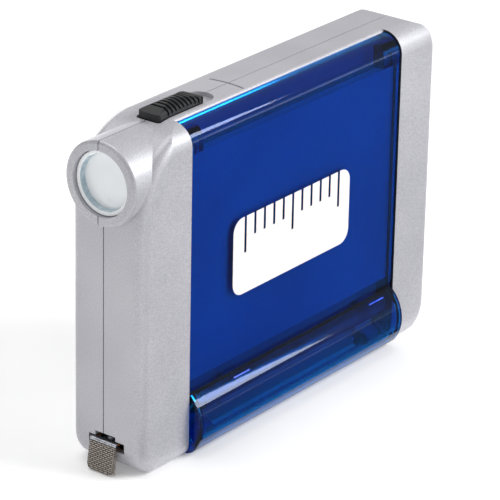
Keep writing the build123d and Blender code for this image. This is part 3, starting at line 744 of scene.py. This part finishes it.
def coverPips(plan):
    # two moulded pips on top of the cover's bulge, in lighter blue as a painted glint
    def build(shape):
        for middle in plan["middles"]:
            where = Vector((middle, plan["side"], plan["height"]))
            turned = Matrix.Translation(where) @ Matrix.Rotation(math.radians(plan["lean"]), 4, "X")
            size = Matrix.Diagonal((plan["length"], plan["size"], plan["size"], 1))
            bmesh.ops.create_cube(shape, size=1.0, matrix=turned @ size)
        bmesh.ops.bevel(
            shape, geom=shape.edges[:], offset=plan["rounding"], segments=2, affect="EDGES"
        )

    piece = meshPiece("coverPips", build, ["pipGlint"], "cover")


coverPips(pipPlan)
print("pieces built")

# ---- camera and studio
cameraPlan = {
    "azimuth": -52.851,
    "elevation": 23.205,
    "roll": 1.184,
    "lens": 227.34,
    "sensor": 36,  # mm
    "distance": 0.66054,  # metres
    "target": (-0.003195, -0.00065, 0.0332075),
}


def addCamera(plan):
    turn, lift, roll = (math.radians(plan[key]) for key in ("azimuth", "elevation", "roll"))
    back = Vector((math.sin(turn) * math.cos(lift), -math.cos(turn) * math.cos(lift), math.sin(lift)))
    side = Vector((math.cos(turn), math.sin(turn), 0))
    up = back.cross(side)
    rolledSide = math.cos(roll) * side + math.sin(roll) * up
    rolledUp = math.cos(roll) * up - math.sin(roll) * side
    data = bpy.data.cameras.new("camera")
    data.lens = plan["lens"]
    data.sensor_width = plan["sensor"]
    camera = bpy.data.objects.new("camera", data)
    scene.collection.objects.link(camera)
    eye = Vector(plan["target"]) + back * plan["distance"]
    turned = Matrix((rolledSide, rolledUp, back)).transposed().to_4x4()
    camera.matrix_world = Matrix.Translation(eye) @ turned
    scene.camera = camera


addCamera(cameraPlan)

studioPlan = {
    "floorHalf": 6.0,  # metres
    "floorDark": "#F6F6F6",
    "floorLight": "#FCFCFC",
    "floorGlow": 0.16,
    "worldStrength": 0.37,
    "lights": [
        # name, place in metres, size in metres, power in watts
        ("leftSoftbox", (-0.75, 0.15, 0.35), 0.5, 0.35),
        ("frontSoftbox", (0.5, -0.75, 0.55), 0.6, 10.5),
        ("topSoftbox", (-0.1, 0.25, 0.95), 0.7, 4.0),
        ("backSoftbox", (0.45, 0.85, 0.3), 0.5, 2.2),
    ],
    # dark card low on the cover's right, seen only in reflections: keeps the white
    # floor's veil off the cover
    "darkCard": ((-0.06, -0.30, 0.0006), (0.42, -0.0135, 0.0006)),
}


def addStudio(plan):
    half = plan["floorHalf"]
    mesh = bpy.data.meshes.new("floor")
    mesh.from_pydata(
        [(-half, -half, 0), (half, -half, 0), (half, half, 0), (-half, half, 0)], [], [(0, 1, 2, 3)]
    )
    floor = bpy.data.objects.new("floor", mesh)
    scene.collection.objects.link(floor)
    material = newMaterial("palePaperSweep")
    fibre = noise(material, place(material), 40.0)
    finishMaterial(material, {
        "Base Color": twoTone(material, fibre, plan["floorDark"], plan["floorLight"]),
        "Roughness": remap(material, fibre, 0.85, 0.95),
        "Emission Color": (1, 1, 1, 1),
        "Emission Strength": plan["floorGlow"],
    })
    mesh.materials.append(material)
    (lowX, lowY, height), (highX, highY, _) = plan["darkCard"]
    mesh = bpy.data.meshes.new("darkCard")
    mesh.from_pydata(
        [(lowX, lowY, height), (highX, lowY, height), (highX, highY, height), (lowX, highY, height)],
        [], [(0, 1, 2, 3)],
    )
    card = bpy.data.objects.new("darkCard", mesh)
    scene.collection.objects.link(card)
    mesh.materials.append(grainedPart("greyFlock", "#47484B", "#4D4E51", 2.0, 0.9))
    card.visible_camera = card.visible_diffuse = card.visible_transmission = card.visible_shadow = False
    world = bpy.data.worlds.new("studioWorld")
    world.use_nodes = True
    background = world.node_tree.nodes["Background"]
    background.inputs["Color"].default_value = (1, 1, 1, 1)
    background.inputs["Strength"].default_value = plan["worldStrength"]
    scene.world = world
    for name, where, size, power in plan["lights"]:
        data = bpy.data.lights.new(name, "AREA")
        data.size = size
        data.energy = power
        light = bpy.data.objects.new(name, data)
        light.location = where
        aim = Vector((0, 0, 0.035)) - Vector(where)
        light.rotation_euler = aim.to_track_quat("-Z", "Y").to_euler()
        scene.collection.objects.link(light)
    scene.view_settings.view_transform = "Standard"


addStudio(studioPlan)
print("studio built")
